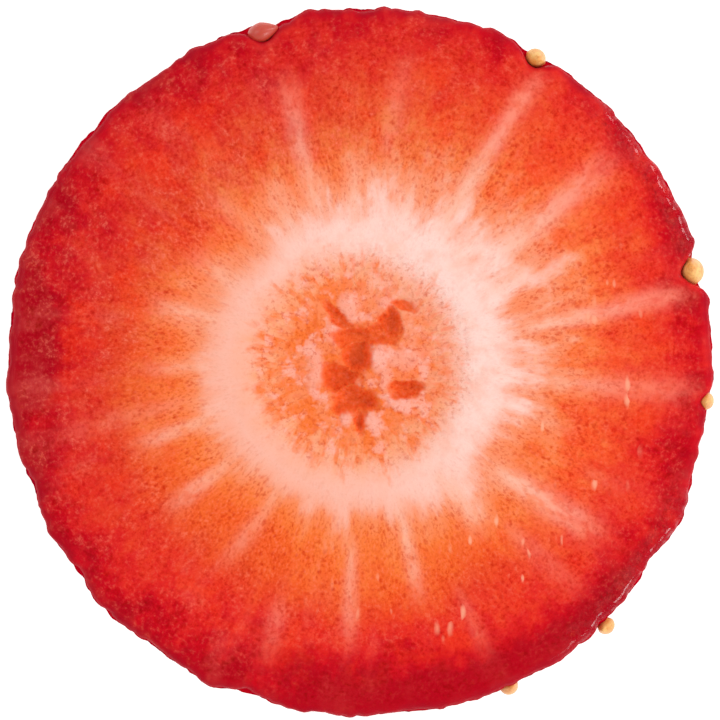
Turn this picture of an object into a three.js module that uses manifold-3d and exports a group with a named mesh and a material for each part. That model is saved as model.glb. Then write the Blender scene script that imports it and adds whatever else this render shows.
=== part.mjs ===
// A round slice cut across a ripe strawberry, lying on its lower cut face with the stalk's side up.
// It is one solid, as it grew: the flesh between two cuts, the skin round it with a dimple at
// each achene (the small dry fruits that look like seeds), and the achenes rooted in their dimples.
// The hollow in the middle of the berry opens as ragged pits in both cut faces.
// Millimetres, +Z up, with the origin at the middle of the lower cut face.

import * as THREE from "three";
import { mergeVertices } from "three/addons/utils/BufferGeometryUtils.js";
import Module from "manifold-3d";

const wasm = await Module();
wasm.setup();

// The slice. Its skin is an arc in side view, widest not far below the upper cut.
const WIDEST_RADIUS = 18;
const WIDEST_HEIGHT = 5.7;
const THICKNESS = 7;
const SKIN_ARC_RADIUS = 14;
const UPPER_EDGE_ROUND = 0.5;
const LOWER_EDGE_ROUND = 0.3;

// Slow swellings round the outline: how many, how high, and the angle of one crest.
const LOBES = [
  { count: 2, height: 0.05, crest: -74 },
  { count: 3, height: 0.07, crest: 57 },
  { count: 4, height: 0.06, crest: 43 },
  { count: 5, height: 0.045, crest: 12 },
  { count: 13, height: 0.05, crest: 30 },
  { count: 22, height: 0.035, crest: 8 },
];

// The upper cut face: a soft core that sinks, ringed by firmer strands that stand a little proud.
const CORE_FLOOR_RADIUS = 3.2;
const CORE_RIM_RADIUS = 6.2;
const CORE_SINK = 0.3;
const RING_RADIUS = 6.7;
const RING_WIDTH = 1.4;
const RING_RISE = 0.1;

// Pits of the hollow core: centre, half widths along X and Y, and depth.
const UPPER_PITS = [
  { x: -0.2, y: 1.3, halfX: 1.25, halfY: 0.65, depth: 0.75 },
  { x: -0.15, y: 0.3, halfX: 0.7, halfY: 1.2, depth: 0.95 },
  { x: -0.9, y: -0.9, halfX: 1.0, halfY: 0.85, depth: 0.95 },
  { x: -0.25, y: -1.95, halfX: 1.15, halfY: 0.8, depth: 0.9 },
  { x: 1.5, y: 1.8, halfX: 0.65, halfY: 0.9, depth: 0.7 },
  { x: 2.4, y: -1.4, halfX: 0.9, halfY: 0.5, depth: 0.6 },
];
const LOWER_PITS = [
  { x: -0.4, y: 0.7, halfX: 0.8, halfY: 1.3, depth: 1.8 },
  { x: -0.1, y: -1.0, halfX: 0.7, halfY: 1.0, depth: 1.5 },
  { x: 1.3, y: 0.9, halfX: 0.7, halfY: 0.5, depth: 1.1 },
];

// Achenes: their size, how much they narrow upwards, how far they lie under the skin, how deep they
// root in the floors of their dimples, and how far a dimple reaches.
const ACHENE_LENGTH = 1.4;
const ACHENE_WIDTH = 1.05;
const ACHENE_THICKNESS = 0.95;
const ACHENE_TAPER = 0.32;
const ACHENE_INSET = 0.08;
const ACHENE_ROOT = 0.24;
const DIMPLE_REACH = 0.8;
const DIMPLES_BEGIN = WIDEST_RADIUS - 3;
const DIMPLES_FULL = WIDEST_RADIUS - 0.8;

// They stand on a spiral with one achene at each golden angle, as on the whole berry.
const GOLDEN_ANGLE = Math.PI * (3 - Math.sqrt(5));
const ACHENE_SPACING = 3.9;
const SPIRAL_START = 0.4;
const LOWEST_ACHENE = 0.85;
const HIGHEST_ACHENE = THICKNESS - 1.4;
const LEAST_GAP = 2.5;
const SIZE_SPREAD = 0.16;
const TILT_SPREAD = 36;

// Achenes that the upper cut has bared at the rim: angle, distance of their middle from the axis,
// drop below the cut face, size beside the others, and tilt from upright.
const RIM_ACHENES = [
  { angle: 106.5, radius: 17.45, drop: 0.4, size: 1.1, tilt: 78 },
  { angle: 59.9, radius: 17.7, drop: 0.6, size: 1.0, tilt: 10 },
  { angle: 15.3, radius: 17.64, drop: 0.8, size: 1.3, tilt: -12 },
  { angle: -6.5, radius: 17.85, drop: 0.6, size: 0.86, tilt: 0 },
  { angle: -47.1, radius: 18.25, drop: 1.2, size: 0.88, tilt: 20 },
  { angle: -65.3, radius: 18.12, drop: 1.4, size: 0.9, tilt: -15 },
];

// How finely the curved faces are divided.
const SIDES = 132;
const WALL_STEPS = 9;
const EDGE_STEPS = 3;
const CUT_FACE_RINGS = [15.2, 9, 7, 5.4, 3.8];
const PIT_SIDES = 10;
const ACHENE_SIDES = 7;
const ACHENE_RINGS = 5;

// Vertices nearer than this are one.
const MERGE_DISTANCE = 1e-3;

const FLESH_COLOUR = 0xd8321f;

const radians = THREE.MathUtils.degToRad;

// The skin's distance from the axis at a height, before lobes and dimples.
function skinRadius(height) {
  return WIDEST_RADIUS - (height - WIDEST_HEIGHT) ** 2 / (2 * SKIN_ARC_RADIUS);
}

// How far the outline swells out at an angle.
function lobeHeight(angle) {
  return LOBES.reduce((sum, { count, height, crest }) => {
    return sum + height * Math.cos(count * (angle - radians(crest)));
  }, 0);
}

// A number from -0.5 to 0.5 that is different for each achene and the same in each run.
function spread(index, share) {
  return ((index * share) % 1) - 0.5;
}

// The distance between two places on the skin, along it.
function skinDistance(a, b) {
  const turn = Math.atan2(Math.sin(a.angle - b.angle), Math.cos(a.angle - b.angle));
  return Math.hypot(turn * WIDEST_RADIUS, a.height - b.height);
}

// Every achene, with its place, size and tilt: those at the rim first, then those of the spiral.
function placeAchenes() {
  const placed = RIM_ACHENES.map(({ angle, radius, drop, size, tilt }) => ({
    angle: radians(angle),
    height: THICKNESS - drop,
    radius,
    size,
    tilt: radians(tilt),
  }));
  const rise = ACHENE_SPACING ** 2 / (2 * Math.PI * WIDEST_RADIUS);
  for (let i = 0; i * rise < THICKNESS; i++) {
    const height = i * rise;
    const size = 1 + SIZE_SPREAD * spread(i, Math.SQRT2);
    const achene = {
      angle: SPIRAL_START + i * GOLDEN_ANGLE,
      height,
      radius: skinRadius(height) - ACHENE_INSET - (ACHENE_THICKNESS * size) / 2,
      size,
      tilt: radians(TILT_SPREAD * spread(i, Math.sqrt(3))),
    };
    const inside = height > LOWEST_ACHENE && height < HIGHEST_ACHENE;
    if (inside && placed.every((other) => skinDistance(achene, other) > LEAST_GAP)) placed.push(achene);
  }
  return placed;
}

// How deep the dimple of an achene is, so that the achene roots in its floor. Below 0, it is a cushion
// under an achene that stands proud.
function dimpleDepth(achene) {
  const inner = achene.radius - (ACHENE_THICKNESS * achene.size) / 2;
  return skinRadius(achene.height) - inner - ACHENE_ROOT;
}

// How far the skin sinks at a place, where the dimples of all achenes are joined.
function dimpleSink(place, achenes) {
  return achenes.reduce((sink, achene) => {
    const reach = DIMPLE_REACH * achene.size;
    return sink + dimpleDepth(achene) * Math.exp(-((skinDistance(place, achene) / reach) ** 2));
  }, 0);
}

// The upper cut face's height above the plane of the cut, at a distance from the axis.
function cutRelief(radius) {
  const firm = THREE.MathUtils.smoothstep(radius, CORE_FLOOR_RADIUS, CORE_RIM_RADIUS);
  return CORE_SINK * (firm - 1) + RING_RISE * Math.exp(-(((radius - RING_RADIUS) / RING_WIDTH) ** 2));
}

// The slice's outline in side view, from the middle of the lower face out, up and back in.
function sideProfile() {
  const points = [new THREE.Vector2(0, 0)];
  const lowerCorner = skinRadius(LOWER_EDGE_ROUND) - LOWER_EDGE_ROUND;
  const upperCorner = skinRadius(THICKNESS - UPPER_EDGE_ROUND) - UPPER_EDGE_ROUND;
  for (let i = 0; i < EDGE_STEPS; i++) {
    const turn = (i / EDGE_STEPS) * (Math.PI / 2);
    const height = LOWER_EDGE_ROUND * (1 - Math.cos(turn));
    points.push(new THREE.Vector2(lowerCorner + LOWER_EDGE_ROUND * Math.sin(turn), height));
  }
  const wallHeight = THICKNESS - UPPER_EDGE_ROUND - LOWER_EDGE_ROUND;
  for (let i = 0; i <= WALL_STEPS; i++) {
    const height = LOWER_EDGE_ROUND + (wallHeight * i) / WALL_STEPS;
    points.push(new THREE.Vector2(skinRadius(height), height));
  }
  for (let i = 1; i <= EDGE_STEPS; i++) {
    const turn = (i / EDGE_STEPS) * (Math.PI / 2);
    const height = THICKNESS - UPPER_EDGE_ROUND * (1 - Math.sin(turn));
    points.push(new THREE.Vector2(upperCorner + UPPER_EDGE_ROUND * Math.cos(turn), height));
  }
  for (const radius of CUT_FACE_RINGS) points.push(new THREE.Vector2(radius, THICKNESS));
  points.push(new THREE.Vector2(0, THICKNESS));
  return points;
}

// The flesh with its skin, swollen into lobes, dimpled and sunk at the core by formulas.
function fleshGeometry(achenes) {
  const geometry = new THREE.LatheGeometry(sideProfile(), SIDES).rotateX(Math.PI / 2);
  const position = geometry.getAttribute("position");
  for (let i = 0; i < position.count; i++) {
    const radius = Math.hypot(position.getX(i), position.getY(i));
    const angle = Math.atan2(position.getY(i), position.getX(i));
    const height = position.getZ(i);
    const nearSkin = THREE.MathUtils.smoothstep(radius, DIMPLES_BEGIN, DIMPLES_FULL);
    const sink = nearSkin > 0 ? nearSkin * dimpleSink({ angle, height }, achenes) : 0;
    const moved = radius * (1 + lobeHeight(angle) / WIDEST_RADIUS) - sink;
    const onUpperFace = height === THICKNESS;
    position.setXYZ(
      i,
      moved * Math.cos(angle),
      moved * Math.sin(angle),
      onUpperFace ? height + cutRelief(radius) : height,
    );
  }
  return geometry;
}

// One achene: an egg with its narrow end up, flat towards the skin, turned to its place.
function acheneGeometry({ angle, height, radius, size, tilt }) {
  const geometry = new THREE.SphereGeometry(0.5, ACHENE_SIDES, ACHENE_RINGS).rotateX(Math.PI / 2);
  const position = geometry.getAttribute("position");
  for (let i = 0; i < position.count; i++) {
    const up = 2 * position.getZ(i);
    const width = 1 - ACHENE_TAPER * Math.max(0, up);
    position.setX(i, position.getX(i) * width);
    position.setY(i, position.getY(i) * width);
  }
  return geometry
    .scale(ACHENE_THICKNESS * size, ACHENE_WIDTH * size, ACHENE_LENGTH * size)
    .rotateX(tilt)
    .translate(radius + lobeHeight(angle), 0, height)
    .rotateZ(angle);
}

// One pit of the hollow core, as the egg that is cut out of a face at the given height.
function pitGeometry({ x, y, halfX, halfY, depth }, faceHeight) {
  return new THREE.SphereGeometry(1, PIT_SIDES, PIT_SIDES / 2)
    .rotateX(Math.PI / 2)
    .scale(halfX, halfY, depth)
    .translate(x, y, faceHeight);
}

// A closed three.js geometry as a solid that can be joined and cut.
function solidOf(geometry) {
  geometry.deleteAttribute("normal");
  geometry.deleteAttribute("uv");
  const merged = mergeVertices(geometry, MERGE_DISTANCE);
  return new wasm.Manifold(
    new wasm.Mesh({
      numProp: 3,
      vertProperties: merged.getAttribute("position").array,
      triVerts: new Uint32Array(merged.index.array),
    }),
  );
}

// A solid as a three.js geometry again.
function geometryOf(solid) {
  const { vertProperties, triVerts, numProp } = solid.getMesh();
  const geometry = new THREE.BufferGeometry();
  geometry.setAttribute("position", new THREE.BufferAttribute(vertProperties, numProp));
  geometry.setIndex(new THREE.BufferAttribute(triVerts, 1));
  geometry.computeVertexNormals();
  return geometry;
}

// The whole slice: flesh, less the pits of the hollow, with every achene fused in.
function sliceGeometry() {
  const achenes = placeAchenes();
  let solid = solidOf(fleshGeometry(achenes));
  for (const pit of UPPER_PITS) solid = solid.subtract(solidOf(pitGeometry(pit, THICKNESS - CORE_SINK)));
  for (const pit of LOWER_PITS) solid = solid.subtract(solidOf(pitGeometry(pit, 0)));
  for (const achene of achenes) solid = solid.add(solidOf(acheneGeometry(achene)));
  return geometryOf(solid);
}

const slice = new THREE.Mesh(
  sliceGeometry(),
  new THREE.MeshStandardMaterial({ color: FLESH_COLOUR, roughness: 0.35, metalness: 0 }),
);
slice.name = "strawberry_slice";

const strawberry = new THREE.Group();
strawberry.add(slice);

export default strawberry;
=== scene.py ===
"""A round slice of strawberry, dressed for a close look from straight above.

The flesh follows the same rules as the solid that it stands for: an arc of skin between two flat
cuts, slow swellings round the outline, a dimple at each achene, and a ragged hollow in the middle.
Forms are worked out in millimetres and turned to metres as each mesh is made. +X is to the right of
the picture and +Y to its top.
"""

import logging
import math
from dataclasses import dataclass
from enum import Enum
from typing import Any, Iterable, Sequence

import bpy
import numpy as np
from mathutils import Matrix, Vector, noise


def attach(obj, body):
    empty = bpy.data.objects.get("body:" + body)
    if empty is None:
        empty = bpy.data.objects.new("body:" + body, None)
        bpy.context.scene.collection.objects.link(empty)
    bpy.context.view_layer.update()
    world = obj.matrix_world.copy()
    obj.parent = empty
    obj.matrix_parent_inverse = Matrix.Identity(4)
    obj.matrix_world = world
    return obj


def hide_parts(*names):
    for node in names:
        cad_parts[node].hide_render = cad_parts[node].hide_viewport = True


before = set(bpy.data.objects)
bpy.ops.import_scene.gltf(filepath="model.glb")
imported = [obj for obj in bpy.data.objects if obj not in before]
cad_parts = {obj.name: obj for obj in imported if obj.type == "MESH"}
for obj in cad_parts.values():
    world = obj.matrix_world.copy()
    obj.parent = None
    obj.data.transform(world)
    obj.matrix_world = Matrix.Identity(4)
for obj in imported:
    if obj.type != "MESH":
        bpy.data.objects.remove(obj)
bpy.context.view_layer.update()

log = logging.getLogger("strawberry_slice")

MM = 0.001
CAD_NODE = "strawberry_slice"
BODY = "root"
FRUIT_IOR = 1.36

# A Band holds the two values between which something sets in or fades out. Distances are in mm.
# A Weave holds how closely a pattern repeats round the axis, and in a mm outwards.
Paint = tuple[float, float, float, float]
Band = tuple[float, float]
Weave = tuple[float, float]
Socket = bpy.types.NodeSocket


class Slot(Enum):
    """The record's material slots."""

    FLESH = "strawberry_flesh"
    ACHENE = "achene"


class Cut(Enum):
    """The two faces that the knife left."""

    UPPER = "upper"
    LOWER = "lower"


def paint(red: int, green: int, blue: int) -> Paint:
    """A colour as a painter names it, from 0 to 255, in the linear values that shaders use.

    Args:
        red: Share of red.
        green: Share of green.
        blue: Share of blue.

    Returns:
        The linear colour, with full alpha.
    """
    shares = [value / 255 for value in (red, green, blue)]
    linear = [share / 12.92 if share <= 0.04045 else ((share + 0.055) / 1.055) ** 2.4 for share in shares]
    return (linear[0], linear[1], linear[2], 1.0)


def smoothstep(value: np.ndarray, low: float, high: float) -> np.ndarray:
    """A smooth rise from 0 at low to 1 at high."""
    share = np.clip((value - low) / (high - low), 0.0, 1.0)
    return share * share * (3.0 - 2.0 * share)


def turn_between(angle: np.ndarray, other: float | np.ndarray) -> np.ndarray:
    """The turn from one angle to another, the short way round."""
    return np.arctan2(np.sin(angle - other), np.cos(angle - other))


def rough_field(points: np.ndarray, size: float, seed: int, octaves: int = 3) -> np.ndarray:
    """Smooth noise at points, the same in each run.

    Args:
        points: Places, one in each row.
        size: Size of the largest bumps, in the unit of points.
        seed: Which of many like fields is taken.
        octaves: How many finer layers are added.

    Returns:
        One value from about -1 to 1 for each point.
    """
    shift = Vector((17.3 * seed, 9.1 * seed, 5.7 * seed))
    return np.array([noise.fractal(Vector(p) / size + shift, 1.0, 2.0, octaves) for p in points.tolist()])


class Wiring:
    """Adds nodes to a tree and joins them."""

    def __init__(self, tree: bpy.types.NodeTree) -> None:
        """Takes the tree that is to be wired."""
        self.tree = tree

    def feed(self, socket: Socket, value: Any) -> None:
        """Links a socket to value, or sets it to value.

        Args:
            socket: An input of a node.
            value: A socket to link it to, or a plain value.
        """
        if isinstance(value, Socket):
            self.tree.links.new(value, socket)
        else:
            socket.default_value = value

    def add(self, kind: str, inputs: dict[str | int, Any] | None = None, **settings: Any) -> bpy.types.Node:
        """Adds a node.

        Args:
            kind: The node's type.
            inputs: Values or sockets for its inputs, by name or place.
            settings: The node's own properties.

        Returns:
            The new node.
        """
        node = self.tree.nodes.new(kind)
        for name, value in settings.items():
            setattr(node, name, value)
        for key, value in (inputs or {}).items():
            self.feed(node.inputs[key], value)
        return node

    def math(self, operation: str, *values: Any) -> Socket:
        """One step of arithmetic on numbers or sockets."""
        return self.add("ShaderNodeMath", dict(enumerate(values)), operation=operation).outputs[0]

    def product(self, *shares: Any) -> Socket:
        """Several numbers multiplied.

        Args:
            shares: A socket, and then sockets or numbers.

        Returns:
            Their product.
        """
        result = shares[0]
        for share in shares[1:]:
            result = self.math("MULTIPLY", result, share)
        return result

    def total(self, values: Iterable[Any]) -> Socket:
        """Several numbers added up.

        Args:
            values: Numbers or sockets.

        Returns:
            Their sum.
        """
        result = 0.0
        for value in values:
            result = self.math("ADD", result, value)
        return result

    def vector(self, operation: str, *values: Any) -> Socket:
        """One step of arithmetic on vectors."""
        return self.add("ShaderNodeVectorMath", dict(enumerate(values)), operation=operation).outputs[0]

    def join(self, x: Any, y: Any, z: Any) -> Socket:
        """A vector from its three parts."""
        return self.add("ShaderNodeCombineXYZ", {0: x, 1: y, 2: z}).outputs[0]

    def span(self, value: Any, low: Any, high: Any, to_low: Any = 0.0, to_high: Any = 1.0) -> Socket:
        """A smooth step of value from low to high, turned to run from to_low to to_high."""
        inputs = {"Value": value, "From Min": low, "From Max": high, "To Min": to_low, "To Max": to_high}
        return self.add("ShaderNodeMapRange", inputs, interpolation_type="SMOOTHSTEP").outputs[0]

    def mix(self, share: Any, first: Any, second: Any, blend: str = "MIX") -> Socket:
        """Two colours mixed by a share."""
        inputs = {0: share, 6: first, 7: second}
        return self.add("ShaderNodeMix", inputs, data_type="RGBA", blend_type=blend).outputs[2]

    def noise(self, vector: Any, scale: Any, detail: float = 2.0, roughness: float = 0.5) -> Socket:
        """Cloudy noise from 0 to 1."""
        inputs = {"Vector": vector, "Scale": scale, "Detail": detail, "Roughness": roughness}
        return self.add("ShaderNodeTexNoise", inputs).outputs[0]

    def cells(self, vector: Any, scale: Any) -> bpy.types.Node:
        """Scattered cells, with each place's distance to its cell's middle."""
        return self.add("ShaderNodeTexVoronoi", {"Vector": vector, "Scale": scale})

    def stored(self, name: str) -> Socket:
        """A number that the mesh stores at each vertex."""
        return self.add("ShaderNodeAttribute", attribute_name=name).outputs["Fac"]

    def in_mm(self, place: Socket) -> Socket:
        """A place in metres turned into mm."""
        return self.add("ShaderNodeVectorMath", {0: place, "Scale": 1 / MM}, operation="SCALE").outputs[0]

    def place_in_mm(self) -> Socket:
        """Where a point of a piece lies, in mm from the origin, for a material."""
        return self.in_mm(self.add("ShaderNodeTexCoord").outputs["Object"])

    def ramp(self, share: Any, stops: Sequence[tuple[float, tuple[float, ...]]]) -> Socket:
        """A run of colours.

        Args:
            share: The place along it, from 0 to 1.
            stops: Each stop's place and colour, in order.

        Returns:
            The colour at that place.
        """
        node = self.add("ShaderNodeValToRGB", {0: share})
        elements = node.color_ramp.elements
        while len(elements) < len(stops):
            elements.new(1.0)
        for element, (place, colour) in zip(elements, stops):
            element.position = place
            element.color = colour
        return node.outputs[0]


@dataclass(frozen=True)
class Swelling:
    """A slow wave round the outline: how many crests, how high in mm, and where one stands."""

    count: int
    height: float
    crest_deg: float


@dataclass(frozen=True)
class Scallop:
    """A dip in the upper cut edge: place, depth in mm, below 0 where the edge stands out, and half width."""

    angle_deg: float
    depth: float
    half_width_deg: float


@dataclass(frozen=True)
class Ray:
    """A pale strand of vessels that runs from the ring to an achene.

    angle_deg is where it leaves the ring and bend_deg how far it has turned at its end. start and end
    are distances from the axis and width is its half width, all in mm. strength is from 0 to 1.
    """

    angle_deg: float
    bend_deg: float
    start: float
    end: float
    strength: float
    width: float = 0.42

    def mask(self, radius: np.ndarray, angle: np.ndarray) -> np.ndarray:
        """How much of the strand shows at each place.

        Args:
            radius: Distances from the axis.
            angle: Angles round it.

        Returns:
            Shares from 0 to strength.
        """
        along = np.clip((radius - self.start) / (self.end - self.start), 0.0, 1.0)
        middle = np.radians(self.angle_deg + self.bend_deg * along)
        aside = radius * turn_between(angle, middle)
        across = np.exp(-((aside / (self.width * (0.8 + 0.45 * along))) ** 2))
        ends = smoothstep(radius, self.start - 1.4, self.start + 0.6)
        ends *= 1.0 - smoothstep(radius, self.end - 2.2, self.end + 0.3)
        return self.strength * across * ends


@dataclass(frozen=True)
class Patch:
    """A patch of flesh that is riper than its neighbours, or less ripe.

    radius is its distance from the axis, half_around and half_out are its half sizes, and amount is how
    much further out it seems to lie, below 0 where it seems nearer. All are in mm but angle_deg.
    """

    angle_deg: float
    radius: float
    half_around: float
    half_out: float
    amount: float

    def shade(self, radius: np.ndarray, angle: np.ndarray) -> np.ndarray:
        """How much further out each place seems to lie.

        Args:
            radius: Distances from the axis.
            angle: Angles round it.

        Returns:
            Shifts in mm.
        """
        around = self.radius * turn_between(angle, math.radians(self.angle_deg)) / self.half_around
        out = (radius - self.radius) / self.half_out
        return self.amount * np.exp(-(around**2) - out**2)


@dataclass(frozen=True)
class Blot:
    """An oval patch of the pith: place and half widths in mm, turn, and a depth in mm or a strength."""

    x: float
    y: float
    half_x: float
    half_y: float
    amount: float
    turn_deg: float = 0.0

    def reach(self, x: np.ndarray, y: np.ndarray) -> np.ndarray:
        """How far places lie from the oval's middle.

        Args:
            x: Places along X.
            y: Places along Y.

        Returns:
            Distances that are 1 at the oval's edge.
        """
        turn = math.radians(self.turn_deg)
        along = (x - self.x) * math.cos(turn) + (y - self.y) * math.sin(turn)
        across = (y - self.y) * math.cos(turn) - (x - self.x) * math.sin(turn)
        return np.hypot(along / self.half_x, across / self.half_y)


@dataclass(frozen=True)
class Achene:
    """One achene in its place: angles in radians, lengths in mm, and blush from 0, golden, to 1, red."""

    angle: float
    height: float
    radius: float
    size: float
    tilt: float
    blush: float


@dataclass(frozen=True)
class RimAchene:
    """An achene that the photograph shows: its angle and tilt in degrees, and how far below the cut."""

    angle_deg: float
    radius: float
    drop: float
    size: float
    tilt_deg: float
    blush: float = 0.0


@dataclass(frozen=True)
class AcheneRule:
    """Where the achenes stand: some listed one by one at the rim, and the rest on the berry's spiral."""

    length: float = 1.4
    width: float = 1.05
    thickness: float = 0.95
    taper: float = 0.32
    inset: float = 0.08
    root: float = 0.24
    dimple_reach: float = 0.8
    spacing: float = 3.9
    spiral_start: float = 0.4
    lowest: float = 0.85
    below_top: float = 1.4
    least_gap: float = 2.5
    size_spread: float = 0.16
    tilt_spread_deg: float = 36.0
    most_blush: float = 0.35
    rim: tuple[RimAchene, ...] = (
        RimAchene(106.5, 17.45, 0.4, 1.1, 78.0, 0.95),
        RimAchene(59.9, 17.7, 0.6, 1.0, 10.0),
        RimAchene(15.3, 17.64, 0.8, 1.3, -12.0),
        RimAchene(-6.5, 17.85, 0.6, 0.86, 0.0, 0.1),
        RimAchene(-47.1, 18.25, 1.2, 0.88, 20.0),
        RimAchene(-65.3, 18.12, 1.4, 0.9, -15.0, 0.15),
    )


@dataclass(frozen=True)
class SliceForm:
    """The slice's shape in mm, the same as that of the solid."""

    widest_radius: float = 18.0
    widest_height: float = 5.7
    thickness: float = 7.0
    skin_arc_radius: float = 14.0
    upper_edge_round: float = 0.5
    lower_edge_round: float = 0.3
    core_floor_radius: float = 3.2
    core_rim_radius: float = 6.2
    core_sink: float = 0.3
    ring_radius: float = 6.7
    ring_width: float = 1.4
    ring_rise: float = 0.1
    achenes: AcheneRule = AcheneRule()
    swellings: tuple[Swelling, ...] = (
        Swelling(2, 0.05, -74),
        Swelling(3, 0.07, 57),
        Swelling(4, 0.06, 43),
        Swelling(5, 0.045, 12),
        Swelling(13, 0.05, 30),
        Swelling(22, 0.035, 8),
    )
    scallops: tuple[Scallop, ...] = (
        Scallop(105.5, 0.22, 3.0),
        Scallop(101.8, 0.16, 1.2),
        Scallop(98.5, -0.2, 2.4),
        Scallop(89.5, 0.2, 3.0),
        Scallop(68.0, -0.16, 4.2),
        Scallop(59.6, 0.27, 2.2),
        Scallop(46.5, -0.15, 3.2),
        Scallop(36.0, 0.12, 1.6),
        Scallop(19.0, -0.32, 2.6),
        Scallop(15.2, 0.36, 2.2),
        Scallop(11.0, -0.2, 2.2),
        Scallop(-5.0, -0.28, 4.2),
        Scallop(-6.5, 0.3, 1.6),
        Scallop(-15.0, -0.05, 2.2),
        Scallop(-26.5, -0.22, 5.0),
        Scallop(-35.0, 0.2, 2.2),
        Scallop(-47.0, 0.1, 1.4),
        Scallop(-68.0, -0.1, 4.0),
        Scallop(-82.0, 0.1, 2.2),
        Scallop(-93.0, -0.18, 3.2),
        Scallop(-99.5, -0.38, 3.0),
        Scallop(-108.5, 0.36, 2.8),
        Scallop(-115.5, -0.28, 3.0),
        Scallop(-126.0, 0.18, 2.0),
        Scallop(-143.0, 0.22, 2.4),
        Scallop(-151.0, -0.2, 2.4),
        Scallop(-159.5, 0.28, 2.6),
        Scallop(-176.5, -0.2, 2.4),
        Scallop(172.0, 0.24, 4.5),
        Scallop(141.5, 0.22, 3.6),
        Scallop(137.0, 0.12, 3.0),
        Scallop(132.0, -0.1, 2.6),
    )

    def skin_radius(self, height: np.ndarray | float) -> np.ndarray | float:
        """The skin's distance from the axis at a height."""
        return self.widest_radius - (height - self.widest_height) ** 2 / (2 * self.skin_arc_radius)

    def swell(self, angle: np.ndarray | float) -> np.ndarray | float:
        """How far the outline swells out at an angle."""
        return sum(s.height * np.cos(s.count * (angle - math.radians(s.crest_deg))) for s in self.swellings)

    def place_achenes(self) -> list[Achene]:
        """Every achene: those at the rim first, then those of the spiral."""
        rule = self.achenes
        placed = []
        for seen in rule.rim:
            angle, tilt = math.radians(seen.angle_deg), math.radians(seen.tilt_deg)
            placed.append(Achene(angle, self.thickness - seen.drop, seen.radius, seen.size, tilt, seen.blush))
        golden = math.pi * (3 - math.sqrt(5))
        rise = rule.spacing**2 / (2 * math.pi * self.widest_radius)
        for i in range(math.ceil(self.thickness / rise)):
            height = i * rise
            size = 1 + rule.size_spread * (i * math.sqrt(2) % 1 - 0.5)
            achene = Achene(
                rule.spiral_start + i * golden,
                height,
                self.skin_radius(height) - rule.inset - rule.thickness * size / 2,
                size,
                math.radians(rule.tilt_spread_deg * (i * math.sqrt(3) % 1 - 0.5)),
                i * math.sqrt(5) % 1 * rule.most_blush,
            )
            inside = rule.lowest < height < self.thickness - rule.below_top
            if inside and all(self.apart(achene, other) > rule.least_gap for other in placed):
                placed.append(achene)
        return placed

    def apart(self, one: Achene, other: Achene) -> float:
        """The distance between two achenes along the skin."""
        turn = math.remainder(one.angle - other.angle, 2 * math.pi)
        return math.hypot(turn * self.widest_radius, one.height - other.height)

    def dimple_sink(self, angle: np.ndarray, height: np.ndarray, placed: list[Achene]) -> np.ndarray:
        """How far the skin sinks at each place, where all dimples are joined.

        Args:
            angle: Angles round the axis.
            height: Heights above the lower cut.
            placed: The achenes that stand in the dimples.

        Returns:
            Depths in mm.
        """
        sink = np.zeros_like(angle)
        for achene in placed:
            inner = achene.radius - self.achenes.thickness * achene.size / 2
            depth = self.skin_radius(achene.height) - inner - self.achenes.root
            reach = self.achenes.dimple_reach * achene.size
            away = np.hypot(turn_between(angle, achene.angle) * self.widest_radius, height - achene.height)
            sink += depth * np.exp(-((away / reach) ** 2))
        return sink

    def edge_dips(self, angle: np.ndarray) -> np.ndarray:
        """How far the upper cut edge is drawn in.

        Args:
            angle: Angles round the axis.

        Returns:
            Depths in mm, below 0 where the edge stands out.
        """
        dips = np.zeros_like(angle)
        for dip in self.scallops:
            aside = np.degrees(turn_between(angle, math.radians(dip.angle_deg))) / dip.half_width_deg
            dips += dip.depth * np.exp(-(aside**2))
        return dips

    def cut_relief(self, radius: np.ndarray) -> np.ndarray:
        """The upper face's height above the plane of the cut."""
        core = -self.core_sink * (1 - smoothstep(radius, self.core_floor_radius, self.core_rim_radius))
        return core + self.ring_rise * np.exp(-(((radius - self.ring_radius) / self.ring_width) ** 2))


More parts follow.
